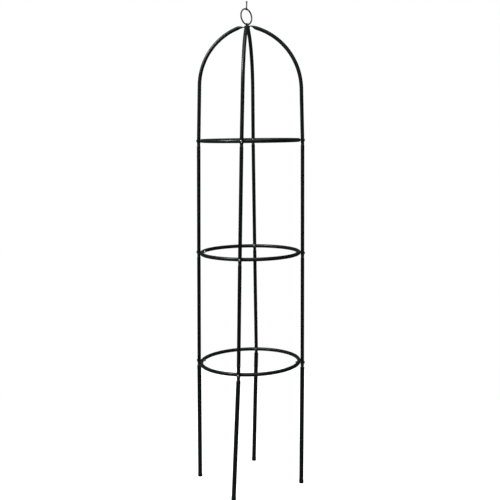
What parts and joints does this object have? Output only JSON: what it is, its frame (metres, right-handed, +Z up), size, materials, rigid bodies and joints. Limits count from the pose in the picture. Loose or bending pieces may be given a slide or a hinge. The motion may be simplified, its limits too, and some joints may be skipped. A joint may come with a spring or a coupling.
{
  "type": "garden obelisk",
  "caption": "Tall domed plant support in thin black tube: four jointed legs bolted outside three round hoops, bent in to one point with a hanging ring.",
  "frame": {"origin": "ground point under the middle of the three hoops, halfway between opposite feet", "axes": "+Z up, front leg towards -Y, right leg towards +X"},
  "size_m": [0.4412, 0.4426, 1.9101],
  "materials": {
    "leg_coating": "semi-gloss black powder coat with a faint green cast",
    "hoop_coating": "semi-gloss black powder coat with a faint green cast",
    "zinc_hardware": "zinc-plated steel, slightly dulled",
    "wire": "dark coated steel wire, satin",
    "cap_plastic": "matte black moulded plastic"
  },
  "bodies": {
    "obelisk_frame": {"top_bow_front": "leg_coating", "top_bow_right": "leg_coating", "top_bow_back": "leg_coating", "top_bow_left": "leg_coating", "upper_tube_front": "leg_coating", "upper_tube_right": "leg_coating", "upper_tube_back": "leg_coating", "upper_tube_left": "leg_coating", "middle_tube_front": "leg_coating", "middle_tube_right": "leg_coating", "middle_tube_back": "leg_coating", "middle_tube_left": "leg_coating", "foot_tube_front": "leg_coating", "foot_tube_right": "leg_coating", "foot_tube_back": "leg_coating", "foot_tube_left": "leg_coating", "top_ring": "hoop_coating", "middle_ring": "hoop_coating", "bottom_ring": "hoop_coating", "joint_screws": "zinc_hardware", "joint_nuts": "zinc_hardware", "apex_eye_screw": "zinc_hardware", "apex_washer": "zinc_hardware", "apex_nut": "zinc_hardware", "foot_cap_front": "cap_plastic", "foot_cap_right": "cap_plastic", "foot_cap_back": "cap_plastic", "foot_cap_left": "cap_plastic"},
    "hanging_ring": {"hanging_ring": "wire"},
    "hanger_link": {"hanger_link": "wire"}
  },
  "joints": [
    {"name": "ring_swing", "type": "hinge", "parent": "obelisk_frame", "child": "hanging_ring", "pos_m": [-0.0122, -0.0017, 1.8207], "axis": [0.5736, 0.8192, 0], "range_deg": [-90, 104]},
    {"name": "link_pivot", "type": "hinge", "parent": "hanging_ring", "child": "hanger_link", "pos_m": [-0.01541, 0.00618, 1.8789], "axis": [0.5821, 0.7981, -0.1553], "continuous": true}
  ]
}
